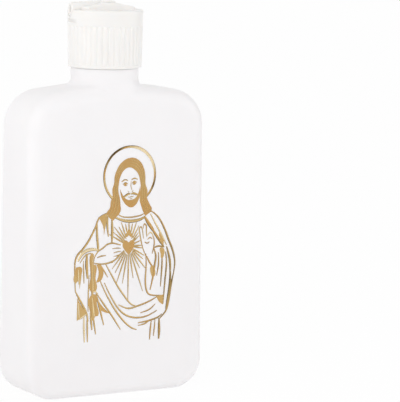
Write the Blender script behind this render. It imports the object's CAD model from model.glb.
import math

import bmesh
import bpy
import numpy as np
from mathutils import Matrix, Vector


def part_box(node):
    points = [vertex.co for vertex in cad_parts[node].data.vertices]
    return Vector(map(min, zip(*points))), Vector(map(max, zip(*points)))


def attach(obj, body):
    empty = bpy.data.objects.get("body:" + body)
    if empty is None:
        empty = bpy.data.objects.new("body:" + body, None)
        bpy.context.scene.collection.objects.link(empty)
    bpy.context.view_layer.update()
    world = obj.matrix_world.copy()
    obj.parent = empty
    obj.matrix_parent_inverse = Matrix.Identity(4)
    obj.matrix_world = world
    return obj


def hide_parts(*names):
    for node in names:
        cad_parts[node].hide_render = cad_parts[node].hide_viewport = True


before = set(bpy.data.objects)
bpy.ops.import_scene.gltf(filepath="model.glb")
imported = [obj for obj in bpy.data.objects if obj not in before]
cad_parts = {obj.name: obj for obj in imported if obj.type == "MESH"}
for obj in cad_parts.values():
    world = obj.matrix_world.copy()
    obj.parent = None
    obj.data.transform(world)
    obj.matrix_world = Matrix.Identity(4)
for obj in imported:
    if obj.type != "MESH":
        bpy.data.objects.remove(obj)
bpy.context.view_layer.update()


# Bottle: one blow-moulded shell of satin milky plastic, with flat front and back panels, soft edges and a
# screw neck. The wall is about a millimetre thick, and the bottle stands on a rim round a shallow hollow in
# its base.
mm = 0.001
half_w, half_t, lip_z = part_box("bottle_body")[1]
edge_r, base_edge_r = 4.8 * mm, 3 * mm
base_corner_r, top_corner_r = 9 * mm, 11.3 * mm
shoulder_z, shoulder_fall = 94 * mm, math.radians(6.5)
wall, base_rise = 1 * mm, 0.8 * mm
neck_foot, neck_sweep, sweep_run, least_sweep = 90 * mm, 2.2 * mm, 4 * mm, 0.02
collar_r, collar_top, collar_edge = 10.3 * mm, 99.42 * mm, 0.15 * mm
step_r, step_top, step_edge = 9.7 * mm, 100.3 * mm, 0.1 * mm
finish_r, finish_edge, bore_r, lip_r = 8.8 * mm, 0.2 * mm, 6.8 * mm, 0.6 * mm

base_x, top_x = half_w - base_corner_r, half_w - top_corner_r
top_z = shoulder_z - (top_x - collar_r) * math.tan(shoulder_fall) - top_corner_r / math.cos(shoulder_fall)


def front_outline(x, z, lift):
    """Distance outside the bottle's outline in the front view, for x to the right of the axis."""
    fall, run = math.sin(shoulder_fall), math.cos(shoulder_fall)
    out = np.maximum(x - half_w, lift - z)
    out = np.maximum(out, (x - collar_r) * fall + (z - shoulder_z) * run)
    base_z = base_corner_r + lift
    in_base = (x > base_x) & (z < base_z)
    out = np.where(in_base, np.hypot(x - base_x, z - base_z) - base_corner_r, out)
    in_top = (z > top_z) & ((x - top_x) * run > (z - top_z) * fall)
    return np.where(in_top, np.hypot(x - top_x, z - top_z) - top_corner_r, out)


def blown_wall(p, drawn_in, neck_r, lift):
    """Distance outside the blown shell with its neck, drawn in by a wall; negative inside it."""
    x, y, z = np.abs(p[..., 0]), np.abs(p[..., 1]), p[..., 2]
    share = np.clip((z - base_corner_r) / (top_z - base_corner_r), 0, 1)
    soft = base_edge_r + (edge_r - base_edge_r) * share
    a, b = front_outline(x, z, lift) + soft, y - half_t + soft
    shell = np.minimum(np.maximum(a, b), 0) + np.hypot(np.maximum(a, 0), np.maximum(b, 0)) - soft + drawn_in
    neck = np.maximum(np.hypot(x, y) - neck_r, neck_foot - z)
    sweep = neck_sweep * np.clip((z - neck_foot) / sweep_run, least_sweep, 1)
    near = np.maximum(sweep - np.abs(shell - neck), 0)
    return np.minimum(shell, neck) - near * near / (4 * sweep)


# Columns of the shell's mesh, closest together round the four upright edges
side_columns, edge_columns, panel_columns = 6, 18, 36
quarter = [(half_w, y) for y in np.linspace(0, half_t - edge_r, side_columns, endpoint=False)]
for turn in np.linspace(0, math.pi / 2, edge_columns, endpoint=False):
    quarter.append((half_w - edge_r + edge_r * math.cos(turn), half_t - edge_r + edge_r * math.sin(turn)))
quarter += [(x, half_t) for x in np.linspace(half_w - edge_r, 0, panel_columns, endpoint=False)]
column = np.array([math.atan2(y, x) for x, y in quarter])
column = np.concatenate([column, [math.pi / 2], math.pi - column[:0:-1]])
column = np.concatenate([column, math.pi + column])
up = np.array([0, 0, 1.0])


def ring_of(columns, r, z):
    """Level ring of points in the directions of the columns."""
    return np.stack([r * np.cos(columns), r * np.sin(columns), np.full_like(columns, z)], 1)


def wall_ring(start_z, rise, drawn_in=0.0, neck_r=collar_r, lift=0.0):
    """Ring of points where rays that leave the axis at one height, at one rise in degrees, meet the wall."""
    halvings, longest = 40, 1.5 * half_w
    way = ring_of(column, math.cos(math.radians(rise)), math.sin(math.radians(rise)))
    near, far = np.zeros(len(way)), np.full(len(way), longest)
    for _ in range(halvings):
        mid = (near + far) / 2
        inside = blown_wall(up * start_z + way * mid[:, None], drawn_in, neck_r, lift) < 0
        near, far = np.where(inside, mid, near), np.where(inside, far, mid)
    return up * start_z + way * near[:, None]


def neck_rings(shares, steepest, low_z, high_z, aim_r, **side):
    """Rings where the shoulder sweeps into the neck, on rays through one radius that flatten as they rise."""
    rings = []
    for share in shares:
        rise = steepest * (1 - share) ** 2
        aim_z = low_z + (high_z - low_z) * share
        rings.append(wall_ring(aim_z - aim_r * math.tan(math.radians(rise)), rise, **side))
    return rings


def hollowed(ring):
    """Raises the middle of the base by the shallow hollow that leaves a rim to stand on."""
    rim_x, rim_y, soft, slope, base_top = 18.5 * mm, 6 * mm, 3 * mm, 1.5 * mm, 0.1 * mm
    a, b = np.abs(ring[:, 0]) - rim_x + soft, np.abs(ring[:, 1]) - rim_y + soft
    inside = soft - np.hypot(np.maximum(a, 0), np.maximum(b, 0)) - np.minimum(np.maximum(a, b), 0)
    share = np.clip(inside / slope, 0, 1)
    ring[:, 2] += base_rise * share * share * (3 - 2 * share) * (ring[:, 2] < base_top)
    return ring


def skinned(name, rings):
    """Closed mesh through rings of points that run upwards outside; a single point closes an end."""
    points, faces, first = [], [], []
    for ring in rings:
        first.append(len(points))
        points += [tuple(p) for p in ring]
    for a, b, low, high in zip(first, first[1:], rings, rings[1:]):
        n = max(len(low), len(high))
        for j in range(n):
            k = (j + 1) % n
            if len(low) == 1:
                faces.append((a, b + k, b + j))
            elif len(high) == 1:
                faces.append((a + j, a + k, b))
            else:
                faces.append((a + j, a + k, b + k, b + j))
    mesh = bpy.data.meshes.new(name)
    mesh.from_pydata(points, [], faces)
    mesh.shade_smooth()
    piece = bpy.data.objects.new(name, mesh)
    bpy.context.scene.collection.objects.link(piece)
    return piece


# Rings of the shell: up the outside from the middle of the base, over the lip, and down the inside
base_fan_z, shoulder_fan_z = 14 * mm, 76 * mm
base_rises = [*range(-86, -62, 3), *range(-62, 0)]
rings = [np.array([[0, 0, base_rise]])]
rings += [hollowed(wall_ring(base_fan_z, rise)) for rise in base_rises]
rings += [wall_ring(z, 0) for z in np.linspace(base_fan_z, shoulder_fan_z, 16)]
rings += [wall_ring(shoulder_fan_z, rise) for rise in np.arange(1, 56, 0.8)]
rings += neck_rings(np.linspace(0, 1, 20), 56, 95.6 * mm, 97 * mm, 13 * mm)
for turn in np.radians(np.linspace(0, 90, 6)):
    r = collar_r - collar_edge * (1 - math.cos(turn))
    z = collar_top - collar_edge * (1 - math.sin(turn))
    rings.append(ring_of(column, r, z))
for r, z in ((step_r + step_edge, collar_top), (step_r, collar_top + step_edge),
             (step_r, step_top - finish_edge), (step_r - finish_edge, step_top),
             (finish_r + finish_edge, step_top), (finish_r, step_top + finish_edge)):
    rings.append(ring_of(column, r, z))
for turn in np.radians(np.linspace(0, 180, 13)):
    middle = (finish_r + bore_r) / 2 + ((finish_r - bore_r) / 2 - lip_r) * math.copysign(1, math.cos(turn))
    rings.append(ring_of(column, middle + lip_r * math.cos(turn), lip_z - lip_r + lip_r * math.sin(turn)))
rings += [ring_of(column, bore_r, z * mm) for z in (106, 100, 97)]
inner = dict(drawn_in=wall, neck_r=bore_r, lift=base_rise)
rings += neck_rings(np.linspace(1, 0, 10), 60, 94.2 * mm, 96 * mm, 10 * mm, **inner)
rings += [wall_ring(shoulder_fan_z, rise, **inner) for rise in range(60, 0, -3)]
rings += [wall_ring(z, 0, **inner) for z in np.linspace(shoulder_fan_z, base_fan_z, 6)]
rings += [wall_ring(base_fan_z, -rise, **inner) for rise in range(3, 88, 3)]
rings.append(np.array([[0, 0, wall + base_rise]]))
bottle = skinned("bottle", rings)


def fed(node, *terms, **values):
    """Sets a node's properties and sockets by name, or its sockets in order; an output given is linked."""
    for key in [key for key in values if hasattr(node, key)]:
        setattr(node, key, values.pop(key))
    named = [(node.inputs[key.replace("_", " ")], value) for key, value in values.items()]
    for socket, value in named + list(zip(node.inputs, terms)):
        if isinstance(value, bpy.types.NodeSocket):
            node.id_data.links.new(value, socket)
        else:
            socket.default_value = value
    return node


def node_adder(tree):
    """Function that adds a node to a tree and feeds it."""
    def add(kind, *terms, **values):
        return fed(tree.nodes.new(kind), *terms, **values)
    return add


def counted(add, operation, *terms):
    """Output of a node that works out a value from outputs and plain numbers."""
    return add("ShaderNodeMath", *terms, operation=operation).outputs[0]


def tinted(add, amount, *stops):
    """Colour that runs through stops, each a position and a colour, as an amount grows."""
    ramp = add("ShaderNodeValToRGB", Fac=amount)
    colours = ramp.color_ramp.elements
    colours[0].position, colours[0].color = stops[0][0], (*stops[0][1], 1)
    colours[1].position, colours[1].color = stops[-1][0], (*stops[-1][1], 1)
    for position, colour in stops[1:-1]:
        colours.new(position).color = (*colour, 1)
    return ramp.outputs["Color"]


def plain_material(name):
    """New material: itself, its shader and a function that adds nodes to it."""
    material = bpy.data.materials.new(name)
    material.use_nodes = True
    return material, material.node_tree.nodes["Principled BSDF"], node_adder(material.node_tree)


tint_per_metre = 5.0
milky_plastic, shader, add = plain_material("milky_plastic")
place = add("ShaderNodeTexCoord").outputs["Object"]
cloud = add("ShaderNodeTexNoise", Vector=place, Scale=45.0, Detail=3.0).outputs["Fac"]
height = add("ShaderNodeSeparateXYZ", Vector=place).outputs["Z"]
thickness = counted(add, "MULTIPLY_ADD", height, tint_per_metre, cloud)
tint = tinted(add, thickness, (0.3, (0.88, 0.862, 0.87)), (1.0, (0.915, 0.899, 0.907)))
gloss = add("ShaderNodeMapRange", Value=cloud, To_Min=0.36, To_Max=0.46).outputs["Result"]
blown = add("ShaderNodeTexNoise", Vector=place, Scale=60.0, Detail=1.0).outputs["Fac"]
waves = add("ShaderNodeBump", Height=blown, Strength=0.25, Distance=0.15 * mm).outputs["Normal"]
mould = add("ShaderNodeTexNoise", Vector=place, Scale=2600.0, Detail=2.0).outputs["Fac"]
grain = add("ShaderNodeBump", Height=mould, Normal=waves, Strength=0.1, Distance=0.02 * mm).outputs["Normal"]
fed(shader, Base_Color=tint, Roughness=gloss, Normal=grain, Specular_IOR_Level=0.36, Subsurface_Weight=0.4,
    Subsurface_Radius=(1.0, 0.95, 0.92), Subsurface_Scale=0.6 * mm)

# The thread on the neck: a flat-topped ridge of one and a half turns that runs out at both ends
thread_pitch, thread_turns, thread_steps = 3.175, 1.5, 24
thread_depth, thread_bite, thread_foot, thread_top = 0.9, 0.3, 1.8, 0.8


def path_mesh(name, paths, closed=False):
    """Piece of bare paths: lists of places, each with a section's size and, where it varies, its shine."""
    points, edges, sizes, shines = [], [], [], []
    for path in paths:
        first = len(points)
        points += [place for place, _, *_ in path]
        sizes += [size for _, size, *_ in path]
        shines += [shine[0] if shine else 0.0 for _, _, *shine in path]
        edges += [(i, i + 1) for i in range(first, len(points) - 1)]
        edges += [(len(points) - 1, first)] if closed else []
    mesh = bpy.data.meshes.new(name)
    mesh.from_pydata(points, edges, [])
    for label, values in (("size", sizes), ("shine", shines)):
        mesh.attributes.new(label, "FLOAT", "POINT").data.foreach_set("value", values)
    piece = bpy.data.objects.new(name, mesh)
    bpy.context.scene.collection.objects.link(piece)
    return piece


def geometry_tree(name, sizes):
    """New tree of nodes for a shape: itself, its named inputs and a function that adds nodes to it."""
    tree = bpy.data.node_groups.new(name, "GeometryNodeTree")
    for label, kind in {"Geometry": "Geometry", **sizes, "Finish": "Material"}.items():
        tree.interface.new_socket(label, in_out="INPUT", socket_type="NodeSocket" + kind)
    tree.interface.new_socket("Geometry", in_out="OUTPUT", socket_type="NodeSocketGeometry")
    return tree, tree.nodes.new("NodeGroupInput").outputs, node_adder(tree)


def finished(add, given, shape):
    """Ends a tree: makes its shape real, gives it its finish and sends it out."""
    real = add("GeometryNodeRealizeInstances", Geometry=shape).outputs["Geometry"]
    coated = add("GeometryNodeSetMaterial", Geometry=real, Material=given["Finish"]).outputs["Geometry"]
    add("NodeGroupOutput", Geometry=coated)


def plain_mesh(piece, step):
    """Makes what a modifier shapes into the piece's own clean mesh, faced outwards, without the modifier."""
    shaped = bpy.data.meshes.new_from_object(piece.evaluated_get(bpy.context.evaluated_depsgraph_get()))
    piece.modifiers.remove(step)
    faced = bmesh.new()
    faced.from_mesh(shaped)
    bmesh.ops.remove_doubles(faced, verts=faced.verts, dist=0.001 * mm)
    bmesh.ops.recalc_face_normals(faced, faces=faced.faces)
    faced.to_mesh(shaped)
    faced.free()
    piece.data = shaped


def grown(piece, tree, values):
    """Grows a piece with a tree of nodes, whose named inputs get their values."""
    growth = piece.modifiers.new(tree.name, "NODES")
    growth.node_group = tree
    for socket in tree.interface.items_tree:
        if socket.in_out == "INPUT" and socket.name in values:
            growth[socket.identifier] = values[socket.name]
    plain_mesh(piece, growth)


def gathered(piece, *others):
    """Adds the meshes of other pieces to a piece."""
    whole = bmesh.new()
    for part in (piece, *others):
        whole.from_mesh(part.data)
    whole.to_mesh(piece.data)
    whole.free()
    for part in others:
        bpy.data.objects.remove(part)


# A ridge swept along each path, whose rim is marked dark along one foot and bright along the other
dark_rim, bright_rim = 1.0, -0.25
ridge_tree, given, add = geometry_tree("ridge_along_path", {
    "Foot Width": "Float", "Top Width": "Float", "Height": "Float", "Sunk": "Float", "Lay": "Float",
    "Steps": "Int"})
path = add("GeometryNodeMeshToCurve", Mesh=given["Geometry"]).outputs["Curve"]
curve = add("GeometryNodeCurveSplineType", spline_type="CATMULL_ROM", Curve=path).outputs["Curve"]
fine = add("GeometryNodeSetSplineResolution", Geometry=curve, Resolution=given["Steps"]).outputs["Geometry"]
upright = add("GeometryNodeSetCurveNormal", mode="Z_UP", Curve=fine).outputs["Curve"]
section = add("GeometryNodeCurvePrimitiveQuadrilateral", mode="TRAPEZOID", Offset=0.0, Height=given["Height"],
              Bottom_Width=given["Foot Width"], Top_Width=given["Top Width"]).outputs["Curve"]
corner = add("GeometryNodeInputIndex").outputs["Index"]
at_foot = counted(add, "GREATER_THAN", corner, 1.5)
far_foot = counted(add, "GREATER_THAN", corner, 2.5)
sided = counted(add, "MULTIPLY_ADD", far_foot, bright_rim - dark_rim, at_foot)
rim = add("GeometryNodeStoreNamedAttribute", data_type="FLOAT", domain="POINT", Name="rim", Geometry=section,
          Value=sided).outputs["Geometry"]
middle = counted(add, "MULTIPLY_ADD", given["Height"], 0.5, counted(add, "MULTIPLY", given["Sunk"], -1))
lift = add("ShaderNodeCombineXYZ", Y=middle).outputs["Vector"]
raised = add("GeometryNodeTransform", Geometry=rim, Translation=lift).outputs["Geometry"]
lay = add("ShaderNodeCombineXYZ", Z=given["Lay"]).outputs["Vector"]
laid = add("GeometryNodeTransform", Geometry=raised, Rotation=lay).outputs["Geometry"]
size = add("GeometryNodeInputNamedAttribute", data_type="FLOAT", Name="size").outputs["Attribute"]
swept = add("GeometryNodeCurveToMesh", Curve=upright, Profile_Curve=laid, Scale=size, Fill_Caps=True)
finished(add, given, swept.outputs["Mesh"])


def thread(name, wall_r, start_z, lay, finish):
    """Piece with one thread ridge that stands on a round wall."""
    path, steps, run_out, thin_end = [], int(thread_turns * thread_steps), 2, 0.05
    for i in range(steps + 1):
        turn = 2 * math.pi * i / thread_steps
        height = start_z + thread_pitch * i / thread_steps
        share = min(1, (i + thin_end) / run_out, (steps - i + thin_end) / run_out)
        path.append(((wall_r * math.cos(turn) * mm, wall_r * math.sin(turn) * mm, height * mm), share * mm))
    ridge = path_mesh(name, [path])
    grown(ridge, ridge_tree, {
        "Foot Width": thread_foot, "Top Width": thread_top, "Height": thread_depth + thread_bite,
        "Sunk": thread_bite, "Lay": lay, "Steps": 3, "Finish": finish})
    return ridge


bottle_thread_z = lip_z / mm - (thread_turns + 1) * thread_pitch
gathered(bottle, thread("neck_thread", finish_r / mm, bottle_thread_z, math.radians(270), milky_plastic))
bottle.data.materials.append(milky_plastic)
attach(bottle, "bottle")
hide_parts("bottle_body")


# Sealing liner: a soft ring of foamed plastic, cut from sheet. It is pressed into the cap against the
# ceiling, and the bottle's lip bears on it when the cap is screwed down.
liner_in, liner_out, soft = 6.2, 9.6, 0.12
liner_low, liner_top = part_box("sealing_liner")[0][2] / mm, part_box("sealing_liner")[1][2] / mm


def turned(name, profile, lay=Matrix(), count=96):
    """Piece turned from a profile of radii and heights in millimetres, then laid by a matrix."""
    columns = np.arange(count) * 2 * math.pi / count
    rings = [ring_of(columns, r * mm, z * mm) if r else np.array([[0, 0, z * mm]]) for r, z in profile]
    piece = skinned(name, rings)
    piece.data.transform(lay)
    return piece


liner = turned("liner", [
    (liner_in, liner_top - soft), (liner_in, liner_low + soft), (liner_in + soft, liner_low),
    (liner_out - soft, liner_low), (liner_out, liner_low + soft), (liner_out, liner_top - soft),
    (liner_out - soft, liner_top), (liner_in + soft, liner_top), (liner_in, liner_top - soft)])
liner_foam, shader, add = plain_material("liner_foam")
place = add("ShaderNodeTexCoord").outputs["Object"]
cells = add("ShaderNodeTexVoronoi", Vector=place, Scale=2200.0).outputs["Distance"]
tone = tinted(add, cells, (0.0, (0.66, 0.66, 0.64)), (1.0, (0.8, 0.8, 0.78)))
pores = add("ShaderNodeBump", Height=cells, Strength=0.5, Distance=0.08 * mm).outputs["Normal"]
fed(shader, Base_Color=tone, Roughness=0.85, Normal=pores)
liner.data.materials.append(liner_foam)
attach(liner, "liner")
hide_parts("sealing_liner")


# Ribbed cap: one moulding of glossy cream plastic with a ribbed skirt, a smooth band and a flat deck. A low
# bridge on the deck holds the spout's pins, a trough takes the lying spout, and a notch under its tip lets a
# thumbnail in.
deck, foot, ceiling, boss_foot = 117.05, 99.5, 113.6, 112.45
deck_r, deck_flat_r, foot_r, skirt_r, boss_r = 11.5, 9.6, 11.2, 9.95, 6.0
deck_edge, rib_edge, rib_step = 0.6, 0.12, 0.1
rib_foot, rib_top, rib_proud, rib_count, columns_per_rib = 100.5, 112.25, 0.28, 40, 8
cap_turn, crease = math.radians(-9), math.radians(35)
cap_lean = math.atan((deck_r - foot_r) / (deck - foot))


def cap_wall(z):
    """Radius of the cap's leaning wall at a height."""
    return foot_r + (z - foot) * math.tan(cap_lean)


def spread(inner, outer, steps):
    """Round quarter between two corners of a profile, which leaves the first one upwards."""
    (r0, z0), (r1, z1) = inner, outer
    turns = np.linspace(0, math.pi / 2, steps)
    return [(r1 + (r0 - r1) * math.cos(t), z0 + (z1 - z0) * math.sin(t)) for t in turns]


# Boss, inside of the skirt and its rounded foot
profile = [(0, boss_foot), (boss_r - 0.4, boss_foot), (boss_r - 0.1, boss_foot + 0.1)]
profile += [(boss_r, boss_foot + 0.4), (boss_r, ceiling), (skirt_r, ceiling)]
profile += [(skirt_r, foot + 0.5), (skirt_r + 0.15, foot), (foot_r - 0.5, foot)]
profile += [(foot_r - 0.2, foot + 0.12), (foot_r - 0.05, foot + 0.35), (foot_r, foot + 0.6)]
# Wall behind the ribs, with a step at both ends
profile += [(cap_wall(rib_foot - rib_edge), rib_foot - rib_edge), (cap_wall(rib_foot) - rib_step, rib_foot)]
profile += [(cap_wall(rib_foot) - rib_proud, rib_foot + rib_edge)]
profile += [(cap_wall(z) - rib_proud, z) for z in np.linspace(rib_foot + 2, rib_top - 2, 4)]
profile += [(cap_wall(rib_top) - rib_proud, rib_top - rib_edge), (cap_wall(rib_top) - rib_step, rib_top)]
profile += [(cap_wall(rib_top), rib_top + rib_edge)]
# Smooth band and deck
profile += [(cap_wall(z), z) for z in np.linspace(rib_top + 1, deck - 1, 4)]
profile += spread((deck_r, deck - deck_edge), (deck_r - deck_edge, deck), 8)
profile += [(deck_flat_r, deck), (0, deck)]
cap = turned("cap", profile, count=columns_per_rib * rib_count)

cap_plastic, shader, add = plain_material("cap_plastic")
place = add("ShaderNodeTexCoord").outputs["Object"]
cloud = add("ShaderNodeTexNoise", Vector=place, Scale=160.0, Detail=3.0).outputs["Fac"]
tint = tinted(add, cloud, (0.3, (0.9, 0.882, 0.86)), (0.7, (0.915, 0.9, 0.88)))
gloss = add("ShaderNodeMapRange", Value=cloud, To_Min=0.26, To_Max=0.36).outputs["Result"]
mould = add("ShaderNodeTexNoise", Vector=place, Scale=1800.0, Detail=2.0).outputs["Fac"]
grain = add("ShaderNodeBump", Height=mould, Strength=0.12, Distance=0.03 * mm).outputs["Normal"]
fed(shader, Base_Color=tint, Roughness=gloss, Normal=grain, IOR=1.5, Subsurface_Weight=0.5,
    Subsurface_Radius=(1.0, 0.92, 0.84), Subsurface_Scale=0.4 * mm)

# The ribs: half-round waves of the skirt's wall, with a narrow groove between each two
rib_inside, rib_margin, rib_roundness = 10.5, 0.05, 0.55
rib_tree, given, add = geometry_tree("ribs_round_skirt", {
    "Count": "Int", "Foot": "Float", "Top": "Float", "Inside": "Float", "Proud": "Float",
    "Roundness": "Float"})
spot = add("ShaderNodeSeparateXYZ", Vector=add("GeometryNodeInputPosition").outputs["Position"]).outputs
x, y, z = spot["X"], spot["Y"], spot["Z"]
reach = counted(add, "SQRT", counted(add, "ADD", *(counted(add, "MULTIPLY", side, side) for side in (x, y))))
half_count = counted(add, "MULTIPLY", given["Count"], 0.5)
around = counted(add, "MULTIPLY", counted(add, "ARCTAN2", y, x), half_count)
wave = counted(add, "POWER", counted(add, "ABSOLUTE", counted(add, "COSINE", around)), given["Roundness"])
above_foot = counted(add, "GREATER_THAN", z, given["Foot"])
below_top = counted(add, "LESS_THAN", z, given["Top"])
outside = counted(add, "GREATER_THAN", reach, given["Inside"])
on_wall = counted(add, "MULTIPLY", counted(add, "MULTIPLY", above_foot, below_top), outside)
proud = counted(add, "MULTIPLY", counted(add, "MULTIPLY", wave, given["Proud"]), on_wall)
swell = counted(add, "DIVIDE", proud, reach)
out_x, out_y = counted(add, "MULTIPLY", x, swell), counted(add, "MULTIPLY", y, swell)
outwards = add("ShaderNodeCombineXYZ", X=out_x, Y=out_y).outputs["Vector"]
waved = add("GeometryNodeSetPosition", Geometry=given["Geometry"], Offset=outwards)
finished(add, given, waved.outputs["Geometry"])
grown(cap, rib_tree, {
    "Count": rib_count, "Foot": (rib_foot + rib_margin) * mm, "Top": (rib_top - rib_margin) * mm,
    "Inside": rib_inside * mm, "Proud": rib_proud * mm, "Roundness": rib_roundness, "Finish": cap_plastic})


def joined(piece, other, operation):
    """Adds another piece to a piece or cuts it out, and throws the other away."""
    step = piece.modifiers.new("join", "BOOLEAN")
    step.operation, step.solver, step.object = operation, "MANIFOLD", other
    plain_mesh(piece, step)
    bpy.data.objects.remove(other)


# The bridge: a bar across the deck with round ends, highest over the pins and soft at its edges
bridge_r, bridge_half_w, bridge_h, bridge_end_h, bridge_flat = 9.0, 5.4, 2.15, 0.75, 2.0
bridge_soft, bridge_sunk = 0.55, 0.5


def bridge_ring(share, inset, drop):
    """Ring of points over the bridge's outline, drawn in, at its height less a drop."""
    turns = np.linspace(0, 2 * math.pi, 96, endpoint=False)
    r, half = bridge_r - inset, bridge_half_w - inset
    reach = np.minimum(r, half / np.maximum(np.abs(np.sin(turns)), 1e-6)) * share
    x, y = reach * np.cos(turns), reach * np.sin(turns)
    fall = np.clip((np.abs(x) - bridge_flat) / (bridge_r - bridge_flat), 0, 1)
    z = deck + bridge_h - (bridge_h - bridge_end_h) * fall - drop
    return np.stack([x, y, z], 1) * mm


bridge_foot = bridge_ring(1, 0, 0)
bridge_foot[:, 2] = (deck - bridge_sunk) * mm
rings = [np.array([[0, 0, (deck - bridge_sunk) * mm]]), bridge_foot]
for turn in np.radians(np.linspace(0, 90, 6)):
    rings.append(bridge_ring(1, bridge_soft * (1 - math.cos(turn)), bridge_soft * (1 - math.sin(turn))))
rings += [bridge_ring(share, bridge_soft, 0) for share in (0.9, 0.75, 0.6, 0.45, 0.3, 0.15)]
rings.append(np.array([[0, 0, (deck + bridge_h) * mm]]))
joined(cap, skinned("bridge", rings), "UNION")


def rod(name, r, low, high, lay=Matrix(), count=96):
    """Round rod between two places on its axis."""
    return turned(name, [(0, low), (r, low), (r, high), (0, high)], lay, count)


def block(name, corners, low, high):
    """Upright block over corners that run anticlockwise."""
    flat = np.array(corners) * mm
    middle = flat.mean(0)
    layers = [np.column_stack([flat, np.full(len(flat), z * mm)]) for z in (low, high)]
    ends = [np.array([[middle[0], middle[1], z * mm]]) for z in (low, high)]
    return skinned(name, [ends[0]] + layers + [ends[1]])


# What is cut from the cap: the barrel's socket, the pin holes, the tube's trough, the feed hole, the slot
# over the trough and the thumb notch
along_hinge = Matrix.Translation((0, 0, deck * mm)) @ Matrix.Rotation(math.radians(-90), 4, "X")
along_spout = Matrix.Translation((0, 0, deck * mm)) @ Matrix.Rotation(math.radians(-90), 4, "Y")
socket_r, socket_half, hole_r, hole_half, feed_r = 3.3, 3.1, 1.25, 4.6, 1.2
notch_low, notch_high = 113.2, 114.2
trough = [(0, 2), (2.92, 2), (2.146, 12.4), (0, 12.4)]
slot = [(-12.5, -2.35), (-2, -3.1), (3.05, -3.1), (3.05, 3.1), (-2, 3.1), (-12.5, 2.35)]
notch = [(-22, -11.5), (-10.6, -11.5), (-10.6, 11.5), (-22, 11.5)]
for cutter in (
        rod("socket", socket_r, -socket_half, socket_half, along_hinge),
        rod("pin_holes", hole_r, -hole_half, hole_half, along_hinge, 48),
        turned("trough", trough, along_spout),
        rod("feed_hole", feed_r, boss_foot - 1, deck - 0.5, count=48),
        block("slot", slot, deck - 0.2, deck + 4),
        block("notch", notch, notch_low, notch_high)):
    joined(cap, cutter, "DIFFERENCE")
soften = cap.modifiers.new("soften", "BEVEL")
soften.width, soften.segments = 0.14 * mm, 2
soften.limit_method, soften.angle_limit = "ANGLE", math.radians(40)
plain_mesh(cap, soften)
cap.data.shade_smooth()
cap.data.set_sharp_from_angle(angle=crease)

cap.data.transform(Matrix.Rotation(cap_turn, 4, "Z"))
cap_thread_z = bottle_thread_z - thread_pitch / 2
gathered(cap, thread("cap_thread", skirt_r, cap_thread_z, math.radians(90), cap_plastic))
cap.data.materials.clear()
cap.data.materials.append(cap_plastic)
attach(cap, "cap")
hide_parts("ribbed_cap")


# Flip spout: a small moulding of the cap's plastic, with a tapered tube, a round barrel and two pins that
# snap into the bridge. Turned up, its bore meets the feed hole under the barrel.
tip, tip_r, tip_soft, jet_r = 11.4, 2.1, 0.45, 1.2
barrel = [(0, -3), (2.9, -3), (3.1, -2.91), (3.19, -2.7), (3.19, 2.7), (3.1, 2.91), (2.9, 3), (0, 3)]
pins = [(0, -4.4), (1.0, -4.4), (1.2, -4.2), (1.2, 4.2), (1.0, 4.4), (0, 4.4)]
tube = [(0, 2), (2.8, 2), (2.45, 6.7), (tip_r + 0.03, tip - tip_soft)]
tube += spread((tip_r, tip - tip_soft), (tip_r - tip_soft, tip), 6)[1:] + [(0, tip)]
bore = [(0, -4), (jet_r, -4), (jet_r, tip - 0.3), (1.3, tip - 0.1), (1.5, tip + 0.1), (0, tip + 0.1)]
spout = turned("spout", barrel, along_hinge)
joined(spout, turned("pins", pins, along_hinge, 48), "UNION")
joined(spout, turned("tube", tube, along_spout), "UNION")
joined(spout, turned("bore", bore, along_spout, 48), "DIFFERENCE")
spout.data.shade_smooth()
spout.data.set_sharp_from_angle(angle=crease)
spout.data.transform(Matrix.Rotation(cap_turn, 4, "Z"))
spout.data.materials.clear()
spout.data.materials.append(cap_plastic)
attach(spout, "spout")
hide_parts("flip_spout")


# Foil figure: thin gold foil, hot-stamped on the front panel in one stroke of a heated die. It shows a robed
# figure with a halo and a radiant heart, drawn as tapering lines and a few filled patches.
heart_x, heart_z, drawn_stretch = 3 * mm, 45.8 * mm, 1.015
foil_tip, die_spread, line_shine, dulling, pale = 0.55, 1.38, 0.06, 0.009, 0.3
patch_t, press_step, strand_lift = 0.02 * mm, 0.002 * mm, 0.02 * mm

gold_foil, shader, add = plain_material("gold_foil")
place = add("ShaderNodeTexCoord").outputs["Object"]
stamping = add("ShaderNodeTexNoise", Vector=place, Scale=110.0, Detail=4.0, Roughness=0.6).outputs["Fac"]
mottle = add("ShaderNodeMapRange", Value=stamping, From_Min=0.3, From_Max=0.7, To_Min=0.11, To_Max=0.18)
shine = add("ShaderNodeAttribute", attribute_name="shine").outputs["Fac"]
rim = add("ShaderNodeAttribute", attribute_name="rim").outputs["Fac"]
bright = counted(add, "ADD", mottle.outputs["Result"], shine)
worn = counted(add, "MULTIPLY_ADD", rim, -1.0, bright)
tone = tinted(add, worn, (0.0, (0.14, 0.085, 0.03)), (0.08, (0.42, 0.3, 0.13)), (0.14, (0.6, 0.355, 0.13)),
              (0.22, (0.65, 0.46, 0.2)), (0.46, (0.88, 0.73, 0.47)))
gloss = add("ShaderNodeMapRange", Value=stamping, To_Min=0.18, To_Max=0.36).outputs["Result"]
dents = add("ShaderNodeTexNoise", Vector=place, Scale=1400.0, Detail=2.0).outputs["Fac"]
pressed = add("ShaderNodeBump", Height=dents, Strength=0.35, Distance=0.04 * mm).outputs["Normal"]
fed(shader, Base_Color=tone, Metallic=1, Roughness=gloss, Normal=pressed)

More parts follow.
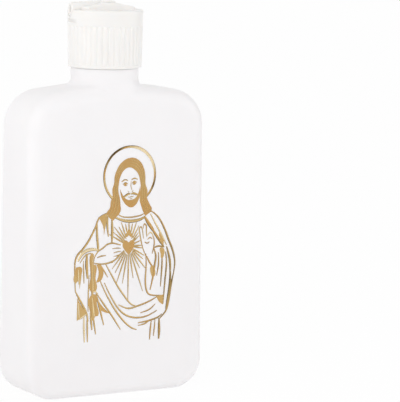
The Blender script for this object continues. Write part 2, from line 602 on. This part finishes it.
# Places on the panel in millimetres, right and up from the heart
outer_left = [
    (-7.6, 10.3), (-6.6, 11.9), (-6.4, 13.6), (-5.8, 15.4), (-5.9, 17.2), (-5.3, 19.2), (-5.2, 21),
    (-4.4, 23.2),
    (-2.8, 25.3)
]
outer_right = [
    (0.2, 26.6), (3, 25.8), (4.8, 23.4), (5.4, 20.8), (5.5, 18.6), (6.2, 16.4), (6.1, 14.4), (7, 12.4),
    (7.8, 10.7)
]
inner_right = [
    (4.8, 10.2), (4.1, 11.9), (3.6, 13.6), (3.7, 15.4), (3.9, 17.2), (3.6, 19.4), (2.9, 21.6), (1.6, 23),
    (-0.2, 23.7)
]
inner_left = [
    (-2, 22.9), (-3.2, 21), (-3.7, 18.8), (-3.8, 16.6), (-3.3, 14.6), (-3, 12.4), (-2.9, 11), (-3.5, 9.8),
    (-4.4, 9)
]
left_end, right_end = (-5.6, 7.8), (5.6, 8.8)
hair = outer_left + outer_right + [right_end] * 2 + inner_right + inner_left + [left_end] * 2
heart = [
    (0.1, -2.7), (0.1, -2.7), (-1.4, -1.1), (-2.1, 0.4), (-1.7, 1.6), (-0.8, 1.7), (0, 1.1), (0, 1.1),
    (0.8, 1.7),
    (1.7, 1.6), (2, 0.4), (1.4, -1.1)
]
patches = [
    # Flame over the heart
    [(0, 5.2), (0, 5.2), (-0.5, 4.2), (-1, 3.5), (-0.8, 2.7), (0, 3.2), (0.8, 2.7), (1, 3.5), (0.5, 4.2)],
    # Shoulder fold on the left
    [(-10.6, 9.2), (-10.6, 9.2), (-8.8, 9.7), (-7.5, 10.2), (-7.5, 10.2), (-7.6, 8), (-8.2, 5.5),
     (-8.5, 3.8),
     (-8.5, 3.8), (-8.9, 6.5), (-9.8, 8.2)],
    # Folds and end of the sleeve on the left
    [(-17.9, -5.4), (-17.9, -5.4), (-16, -5.5), (-16, -7.8), (-16.6, -12), (-16.6, -12), (-17.2, -9.6),
     (-18, -10.2)],
    [(-13, -1.7), (-12.3, -1.4), (-11.9, -4.8), (-11.2, -5), (-11.2, -9), (-11, -12.8), (-12.5, -13.2),
     (-12.9, -8)],
    [(-12.8, -14.2), (-11.2, -14), (-10.6, -17), (-10.2, -20.4), (-11.1, -20.6), (-11.9, -21.8),
     (-12.7, -20)],
    [(-11, -4.9), (-11, -4.9), (-9.4, -5.2), (-8.6, -7), (-8.7, -8.8), (-9.7, -10.1), (-11, -10.4),
     (-11, -10.4),
     (-10.3, -8.6), (-10.2, -7)],
    [(-10.6, -15.4), (-10.6, -15.4), (-8.6, -17.8), (-6.2, -20), (-6.2, -20), (-7.8, -19.6), (-9.6, -18.4)],
    [(-17.3, -14.6), (-17.3, -14.6), (-17.4, -21.5), (-17.4, -21.5), (-14, -19.3), (-14, -19.3),
     (-15.9, -17)],
    # Folds and knot of the mantle on the right
    [(10.8, 3.6), (11.5, 3), (12.2, 0.6), (11.8, -0.4), (11, 1.4)],
    [(11, -1.2), (12.2, -1.4), (12.3, -3.6), (11.6, -4.4), (11.2, -3)],
    [(8.1, -6.4), (8.9, -6.8), (8.7, -10), (8, -9.2)],
    [(9.9, -15.9), (9.9, -15.9), (12.3, -15.5), (12.3, -15.5), (12.2, -18.6), (12.2, -18.6), (10.9, -17.6)]
]
foil_lines = [
    # Neck band
    (0.4, [(-4, 9.9), (-2, 8.9), (1, 8.7), (4, 9.1), (5.4, 9.7)]),
    (0.9, [(-4.6, 8.8), (-1.8, 7.8), (1, 7.5), (3.6, 7.8), (5.6, 8.6)], 0.12),
    # Sides of the flame
    (0.4, [(-0.9, 2.2), (-1.3, 3.1), (-0.6, 4), (-0.1, 5.2)]),
    (0.4, [(0.9, 2.2), (1.2, 3.1), (0.7, 3.9), (0.1, 5.2)]),
    # Shoulder and arm on the left
    (0.6, [(-7.4, 10.4), (-10.2, 9), (-11.6, 6), (-13.6, 2.5), (-15.6, 0), (-17.6, -2), (-18.3, -5),
           (-18, -12.6)]),
    (0.6, [(-18, -12.6), (-16.6, -15), (-14.2, -19.2), (-13.6, -22)]),
    (0.7, [(-11, 8), (-10.9, 4), (-10.5, 0.4), (-10.6, -1.4)]),
    (0.6, [(-7.3, 9.4), (-7.4, 6.4), (-7, 3.2)]),
    (0.8, [(-5.9, 8.4), (-5.7, 5), (-5.8, 1.4)]),
    # Sleeve on the left
    (1.0, [(-17.3, -3.6), (-16, -1.6), (-14.4, -0.6), (-12.4, -0.3), (-10.6, -0.6)], pale),
    (0.4, [(-16.6, -4.2), (-14.8, -2), (-12.8, -1.4)]),
    (0.9, [(-14.2, -1.5), (-14.3, -5), (-13.9, -9)]),
    (0.4, [(-15.4, -3.5), (-15.2, -8), (-15.1, -10.4)]),
    (0.9, [(-12.7, -1.4), (-12.5, -6), (-12.4, -10), (-12.2, -14.8)]),
    (0.4, [(-13.4, -8), (-13.6, -14), (-13.6, -19)]),
    (0.7, [(-11.8, -5), (-11.6, -9), (-11.2, -13)]),
    (0.4, [(-12.6, -13.6), (-11.5, -13), (-10.3, -13.7)], pale),
    (0.9, [(-12.4, -14.6), (-12.2, -19), (-11.9, -21.4)]),
    (0.6, [(-11.4, -14.8), (-10.8, -18), (-10.3, -20.5)]),
    (0.5, [(-16.8, -21.2), (-15.4, -20.4), (-14, -19.6)], pale),
    # Bright folds over the patches of that sleeve
    (0.4, [(-12.4, -3.6), (-12.2, -8), (-12, -12.6)], pale, strand_lift),
    (0.35, [(-17.1, -6), (-17, -8), (-16.8, -10.6)], pale, strand_lift),
    (0.4, [(-12.3, -14.8), (-11.8, -18), (-11.5, -20.6)], pale, strand_lift),
    (0.4, [(-16.9, -16.2), (-16.8, -18.6), (-16.6, -20.6)], pale, strand_lift),
    # Hand at the heart
    (0.45, [(-12, -4.4), (-11.6, -2.6), (-10.4, -1), (-8.8, -0.1), (-7.4, 0.9), (-5.4, 1.2), (-3.6, 0.7),
            (-2.7, 0.5)]),
    (0.3, [(-5.6, -0.5), (-4, -0.4), (-2.6, -0.5)]),
    (0.3, [(-5.2, -1.8), (-3.8, -1.5), (-2.5, -1.4)]),
    (0.3, [(-5.1, -2.9), (-3.8, -2.6), (-2.6, -2.2)]),
    (0.45, [(-12, -4.4), (-9, -4.9), (-6.4, -4.6), (-4.4, -3.8), (-3, -2.8)]),
    (0.4, [(-10.8, -2.9), (-9.4, -2.5), (-7.8, -2.4)]),
    # Raised hand
    (0.4, [(6, -3.4), (5, -1.2), (4.4, 0.8), (3.9, 3), (3.6, 5), (4.2, 5.6), (4.7, 4.6), (5.1, 2)]),
    (0.4, [(4.9, 5), (5.3, 6.4), (6, 5.8), (6.1, 4), (6.3, 2.4)]),
    (0.4, [(6.4, 2.8), (7.3, 3.7), (8.2, 3.3), (8.4, 2.3)], pale),
    (0.35, [(6.5, 1.6), (7.4, 2.2), (8.2, 1.7)]),
    (0.35, [(5.5, 1), (6.4, 0.5), (7.2, 0.9)]),
    (0.4, [(8.4, 2.8), (8.9, 1), (8.7, -1), (8.2, -2.8)]),
    # Sleeve on the right
    (0.5, [(6, -2.6), (6.2, -6), (6, -11), (6.6, -14.2), (8.2, -15.4), (12.2, -15.8)]),
    (0.6, [(8.8, -1.2), (9.5, -3.6), (9.1, -6.6), (8.6, -10), (7.7, -13.8)]),
    (0.5, [(6.3, -3.4), (7.4, -5.4), (8.6, -7)]),
    (0.5, [(8.8, -1), (10.4, -0.6), (12.4, -1)]),
    (0.45, [(10.4, -2.4), (10.5, -6), (9.9, -9.6)]),
    (0.5, [(11.7, -3.6), (11.7, -7), (11.3, -13)]),
    # Mantle on the right
    (0.6, [(7.4, 10.4), (10, 8.4), (12.2, 5), (13.8, 1.4), (15.4, -2.2), (16.2, -5.6), (15.9, -8.8)]),
    (0.6, [(15.9, -8.8), (15, -13), (14.2, -17.6), (13.3, -20.6), (11.2, -22.8)]),
    (1.0, [(5.4, 8.6), (6.6, 6.8), (7.8, 5.2), (8.8, 3.8)]),
    (0.8, [(7.8, 5.2), (9.2, 3.2), (10.6, 1.3), (12.3, -1)]),
    (0.5, [(7.4, 9.4), (9.4, 6), (11.5, 2.6), (13.2, -0.4)], pale),
    (0.5, [(12.9, -2.4), (13.3, -6), (12.8, -12), (12.3, -18.4)]),
    (0.7, [(13.2, -0.8), (14.2, -4), (14.6, -6.6), (14.6, -9.4)]),
    (0.9, [(14.7, -8.6), (14.6, -13), (14, -17), (13.4, -20)]),
    # Mantle swept across the waist
    (0.5, [(-7.8, -5), (-6, -8), (-3.4, -12.2), (-0.8, -15.6), (1, -17.6), (2.6, -18.3)]),
    (0.4, [(-9.6, -5), (-8.2, -7.2), (-7, -9)]),
    (0.5, [(-3.2, -17.6), (0, -18.9), (3, -18.5), (7, -17.4), (10.2, -16)]),
    (0.5, [(-8.2, -10.6), (-5.8, -15), (-3, -19), (0, -21.2), (3.6, -22), (7, -21.6), (10.2, -20.2)]),
    (0.5, [(-9.6, -10), (-7.2, -14.6), (-4.4, -19), (-1.4, -22.6), (1.2, -24.8), (3.2, -25.6)]),
    (0.5, [(-10.8, -13.6), (-8.6, -16.6), (-5.4, -20.8), (-2.4, -25.2)]),
    (0.4, [(4.4, -20.6), (7.4, -19.8), (9.6, -18.2)]),
    (0.5, [(3.6, -23.6), (7.2, -23.2), (10.4, -22.4), (12, -21.4)]),
    # Hems
    (0.6, [(-15, -19.8), (-14.9, -24), (-14.7, -28.2)], pale),
    (0.5, [(-13.9, -20), (-13.8, -24), (-13.7, -28.2)]),
    (0.6, [(-12.8, -19.4), (-12.5, -22), (-12.2, -24.6)]),
    (0.5, [(-12, -19), (-11.5, -22.6), (-10.9, -26)]),
    (0.6, [(-11, -13.6), (-9.8, -17.6), (-8.2, -23.4)]),
    (0.5, [(8.3, -23.2), (8, -26), (7.8, -29)]),
    (0.4, [(9.6, -22.8), (9.4, -25.6), (9.1, -28)]),
    (0.8, [(11, -22.6), (11.1, -26), (11, -29)]),
    (0.4, [(3.6, -24.4), (6, -24), (7.8, -23)])
]
beard = [
    (-3.5, -1.2), (-3.5, -1.2), (-3.3, -3.6), (-2.5, -5.4), (-1.3, -6.8), (0, -7.3), (1.3, -6.8),
    (2.5, -5.4),
    (3.3, -3.6), (3.5, -1.2), (3.5, -1.2), (2.9, -2.8), (2.1, -4.1), (1.2, -4.8), (0, -5), (-1.2, -4.8),
    (-2.1, -4.1), (-2.9, -2.8)
]
side_lines = [
    # Brow, lids, moustache and nostril
    (0.55, [(0.6, 0.95), (1.6, 1.3), (2.8, 0.85)]),
    (0.5, [(0.7, -0.1), (1.5, 0.4), (2.4, -0.05)]),
    (0.25, [(0.9, -0.35), (1.55, -0.55), (2.2, -0.3)]),
    (0.85, [(0.1, -3.2), (0.9, -3.15), (1.8, -3.5), (2.6, -3.9)]),
    (0.3, [(0.4, -2.55), (0.8, -2.5), (0.85, -2.1)])
]
middle_lines = [
    # Nose, mouth and lower lip
    (0.35, [(0.5, 0.6), (0.3, -0.8), (0.5, -2.1)]),
    (0.35, [(-1, -3.95), (-0.5, -4.1), (0, -4.05), (0.5, -4.1), (1, -3.95)]),
    (0.3, [(-0.45, -4.6), (0, -4.7), (0.45, -4.6)])
]


def stroke(width, points, shine=line_shine, lift=0.0):
    """Path of a foil line, widest in its middle and duller to the right; the hot die spreads it a little."""
    last = len(points) - 1
    half = die_spread * width / 2 * mm
    sizes = [half * (foil_tip + (1 - foil_tip) * math.sin(math.pi * i / last)) for i in range(last + 1)]
    shines = [shine - dulling * max(0, x) for x, _ in points]
    return [((x * mm, y * mm, lift), size, dull) for (x, y), size, dull in zip(points, sizes, shines)]


def on_face(points, side=1):
    """Places of the face, right and up from between the eyes, set on the panel."""
    brow_x, brow_z, tilt = 0.1, 18.9, math.radians(6)
    run, rise = math.cos(tilt), math.sin(tilt)
    return [(brow_x + side * x * run - y * rise, brow_z + side * x * rise + y * run) for x, y in points]


strokes = [stroke(*line) for line in foil_lines]
strokes += [stroke(width / die_spread, on_face(points)) for width, points in middle_lines]
for width, points in side_lines:
    strokes += [stroke(width / die_spread, on_face(points, side)) for side in (-1, 1)]

# Rays of the heart, one every 10 degrees from the top: long below, short beside the raised hand, none on the
# other hand
heart_clear, tip_clear, flame_clear = 1.8, 0.8, 2.9
ray_reach, ray_step, hand_x, hand_lean = 7.8, 0.9, 4.5, 0.32
low_reach = dict(zip(range(13, 24), (7.5, 8.6, 9.1, 12, 11.4, 16.8, 10, 14.9, 8, 9.7, 6.5)))
left_out = (7, 8, 9, 10, 11, 12, 25, 28, 30)
for i in range(36):
    angle = math.radians(90 + i * 10)
    across, upwards = math.cos(angle), math.sin(angle)
    reach = low_reach.get(i, ray_reach - ray_step * (i % 2))
    if across > 0.2 and -0.6 < upwards < 0.8:
        reach = min(reach, hand_x / (across + hand_lean * upwards))
    if i not in left_out:
        start = heart_clear + tip_clear * max(0, -upwards) ** 4 + flame_clear * max(0, upwards) ** 8
        swell = [(start, 0.22), (start + 0.4 * (reach - start), 0.3), (reach, 0.14)]
        strokes.append([((r * across * mm, r * upwards * mm, 0), half * mm, line_shine) for r, half in swell])

# The halo: a ring, open where the hair and shoulders cover it, that shines at its upper right
halo, halo_r, halo_z, halo_half, halo_swell, halo_shine = [], 8.72, 21.2, 0.43, 0.45, 0.05
gleam_at = (-47, -20, 5, 30, 70, 95, 115, 140, 180, 228)
gleam_of = (0, -0.22, 0, 0.3, 0.3, 0, -0.2, -0.2, 0, 0.1)
for turn in np.linspace(gleam_at[0], gleam_at[-1], 56):
    gleam = np.interp(turn, gleam_at, gleam_of)
    x, z = halo_r * math.cos(math.radians(turn)), halo_z + halo_r * math.sin(math.radians(turn))
    halo.append(((x * mm, z * mm, 0), (halo_half + halo_swell * max(0, gleam)) * mm, gleam + halo_shine))
strokes.append(halo)

# Strands of hair, between the outer and the inner outline of each side, which run out past its lower ends
strand_w, strand_shine, strand_run = 0.2, 0.1, 0.4
for outer, inner in ((outer_left[::-1], inner_left), (outer_right, inner_right[::-1])):
    for share in (0.2, 0.45, 0.7):
        points = [(a[0] + (b[0] - a[0]) * share, a[1] + (b[1] - a[1]) * share) for a, b in zip(outer, inner)]
        (x0, y0), (x1, y1) = points[-2:]
        points.append((x1 + (x1 - x0) * strand_run, y1 + (y1 - y0) * strand_run))
        strokes.append(stroke(strand_w, points, strand_shine, strand_lift))

foil = path_mesh("foil", strokes)
grown(foil, ridge_tree, {
    "Foot Width": 2.0, "Top Width": 0.9, "Height": 0.125, "Sunk": 0.04, "Lay": math.pi, "Steps": 6,
    "Finish": gold_foil})

# A patch that fills each closed path, whose marked places are sharp corners
patch_tree, given, add = geometry_tree("patch_in_outline", {
    "Thickness": "Float", "Shine": "Float", "Steps": "Int"})
path = add("GeometryNodeMeshToCurve", Mesh=given["Geometry"]).outputs["Curve"]
curve = add("GeometryNodeCurveSplineType", spline_type="BEZIER", Curve=path).outputs["Curve"]
flowing = add("GeometryNodeCurveSetHandles", handle_type="AUTO", Curve=curve).outputs["Curve"]
corner = add("GeometryNodeInputNamedAttribute", data_type="FLOAT", Name="size").outputs["Attribute"]
cornered = add("GeometryNodeCurveSetHandles", handle_type="VECTOR", Curve=flowing, Selection=corner)
fine = add("GeometryNodeSetSplineResolution", Geometry=cornered.outputs["Curve"], Resolution=given["Steps"])
order = add("GeometryNodeInputIndex").outputs["Index"]
filled = add("GeometryNodeFillCurve", Curve=fine.outputs["Geometry"], Group_ID=order).outputs["Mesh"]
raised = add("GeometryNodeExtrudeMesh", Mesh=filled, Offset=(0, 0, 1), Offset_Scale=given["Thickness"],
             Individual=False)
both = add("GeometryNodeJoinGeometry", Geometry=raised.outputs["Mesh"])
fed(both, Geometry=filled)
closed = add("GeometryNodeMergeByDistance", Geometry=both.outputs["Geometry"], Distance=0.001 * mm)
shone = add("GeometryNodeStoreNamedAttribute", data_type="FLOAT", domain="POINT", Name="shine",
            Geometry=closed.outputs["Geometry"], Value=given["Shine"])
finished(add, given, shone.outputs["Geometry"])


def filled_foil(name, outlines, shine):
    """Piece of closed patches of foil; a place that an outline gives twice is a sharp corner.

    Neighbours are pressed in by different depths, so that no two patches lie in one plane where they overlap.
    """
    paths = []
    for i, points in enumerate(outlines):
        corners = [a for a, b in zip(points, points[1:]) if a == b]
        depth = i % 4 * press_step
        paths.append([((x * mm, y * mm, -depth), float((x, y) in corners)) for x, y in dict.fromkeys(points)])
    piece = path_mesh(name, paths, closed=True)
    grown(piece, patch_tree, {"Thickness": patch_t, "Shine": shine, "Steps": 6, "Finish": gold_foil})
    return piece


eye_x, eye_r, eye_drop, eyes = 1.55, 0.45, 0.1, []
for side in (-1, 1):
    turns = np.radians(range(0, 360, 45))
    ring = [(eye_x * side + eye_r * math.cos(t), eye_r * math.sin(t) - eye_drop) for t in turns]
    eyes.append(on_face(ring))
head_foil = filled_foil("head_foil", [hair, heart, on_face(beard)] + eyes, 0.0)
robe_foil = filled_foil("robe_foil", patches, 0.04)
gathered(foil, head_foil, robe_foil)
on_panel = Matrix.Translation((heart_x, -half_t, heart_z)) @ Matrix.Rotation(math.radians(90), 4, "X")
foil.data.transform(Matrix.Diagonal((1, drawn_stretch, 1, 1)))
foil.data.transform(on_panel)
foil.data.materials.clear()
foil.data.materials.append(gold_foil)
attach(foil, "bottle")
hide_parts("foil_figure")


# Studio: white paper that runs along the table and up the wall, and glows a little; a small soft lamp at the
# left, a large one at the right, a pale sky that is brighter at the left and above; and the camera.
table_front, bend_y, bend_r, wall_top, paper_half = -1.2, 0.5, 0.4, 1.6, 1.5
glow_always, glow_seen = 0.4, 0.55
bend = np.radians(np.linspace(0, 90, 13))
sweep = [(table_front, 0)]
sweep += [(bend_y + bend_r * math.sin(t), bend_r - bend_r * math.cos(t)) for t in bend]
sweep += [(bend_y + bend_r, wall_top)]
floor_mesh = bpy.data.meshes.new("floor")
floor_mesh.from_pydata(
    [(x, y, z) for y, z in sweep for x in (-paper_half, paper_half)], [],
    [(2 * i, 2 * i + 1, 2 * i + 3, 2 * i + 2) for i in range(len(sweep) - 1)])
floor_mesh.shade_smooth()
floor = bpy.data.objects.new("floor", floor_mesh)
bpy.context.scene.collection.objects.link(floor)
paper, shader, add = plain_material("white_paper")
fed(shader, Base_Color=(0.95, 0.95, 0.95, 1), Roughness=0.9, Specular_IOR_Level=0.1)
glow = add("ShaderNodeEmission", Strength=1.0).outputs[0]
seen = add("ShaderNodeLightPath").outputs
direct = counted(add, "MAXIMUM", seen["Is Camera Ray"], seen["Is Glossy Ray"])
share = counted(add, "MULTIPLY_ADD", direct, glow_seen, glow_always)
both = add("ShaderNodeMixShader", share, shader.outputs[0], glow).outputs[0]
fed(paper.node_tree.nodes["Material Output"], Surface=both)
floor_mesh.materials.append(paper)


def soft_lamp(name, place, size, power):
    """Round soft lamp that faces the middle of the bottle."""
    lamp = bpy.data.lights.new(name, "AREA")
    lamp.shape, lamp.size, lamp.energy = "DISK", size, power
    box = bpy.data.objects.new(name, lamp)
    box.location = place
    box.rotation_euler = (Vector((0, 0, 0.06)) - Vector(place)).to_track_quat("-Z", "Y").to_euler()
    bpy.context.scene.collection.objects.link(box)


soft_lamp("near_lamp", (-0.32, -0.26, 0.26), 0.25, 0.38)
soft_lamp("fill_lamp", (0.9, -0.5, 0.4), 0.8, 3.0)

sky_level, sky_slope = 0.65, (-0.28, 0.0, 0.14)
world = bpy.data.worlds.new("studio")
bpy.context.scene.world = world
world.use_nodes = True
add = node_adder(world.node_tree)
way = add("ShaderNodeTexCoord").outputs["Generated"]
toward = add("ShaderNodeVectorMath", way, sky_slope, operation="DOT_PRODUCT").outputs["Value"]
level = counted(add, "ADD", toward, sky_level)
sky = fed(world.node_tree.nodes["Background"], Color=(1, 1, 1, 1), Strength=level).outputs[0]
white = add("ShaderNodeBackground", Color=(1, 1, 1, 1), Strength=1.0).outputs[0]
seen = add("ShaderNodeLightPath").outputs
direct = counted(add, "MAXIMUM", seen["Is Camera Ray"], seen["Is Transmission Ray"])
both = add("ShaderNodeMixShader", direct, sky, white).outputs[0]
fed(world.node_tree.nodes["World Output"], Surface=both)

# The camera stands a little left and above, and is turned so that the bottle fills the left half of the frame
aim, distance, sensor_mm = Vector((0, 0, 0.055)), 0.784, 36
turn, height, lean = math.radians(-28), math.radians(7.9), math.radians(0.82)
focal_px, aim_px, frame_px = 2557.0, (102.6, 211.7), (400, 402)
back = Vector((math.sin(turn) * math.cos(height), -math.cos(turn) * math.cos(height), math.sin(height)))
right = Vector((math.cos(turn), math.sin(turn), 0))
upright = back.cross(right)
right, upright = (right * math.cos(lean) + upright * math.sin(lean),
                  upright * math.cos(lean) - right * math.sin(lean))
stand = Matrix((right, upright, back)).transposed().to_4x4()
pan = Matrix.Rotation(math.atan((aim_px[0] - frame_px[0] / 2) / focal_px), 4, "Y")
tilt = Matrix.Rotation(math.atan((aim_px[1] - frame_px[1] / 2) / focal_px), 4, "X")
camera = bpy.data.objects.new("camera", bpy.data.cameras.new("camera"))
camera.data.sensor_width = sensor_mm
camera.data.lens = focal_px * sensor_mm / max(frame_px)
camera.data.clip_start = 0.05
camera.matrix_world = Matrix.Translation(aim + back * distance) @ stand @ pan @ tilt
bpy.context.scene.collection.objects.link(camera)
bpy.context.scene.camera = camera
bpy.context.scene.view_settings.view_transform = "Standard"
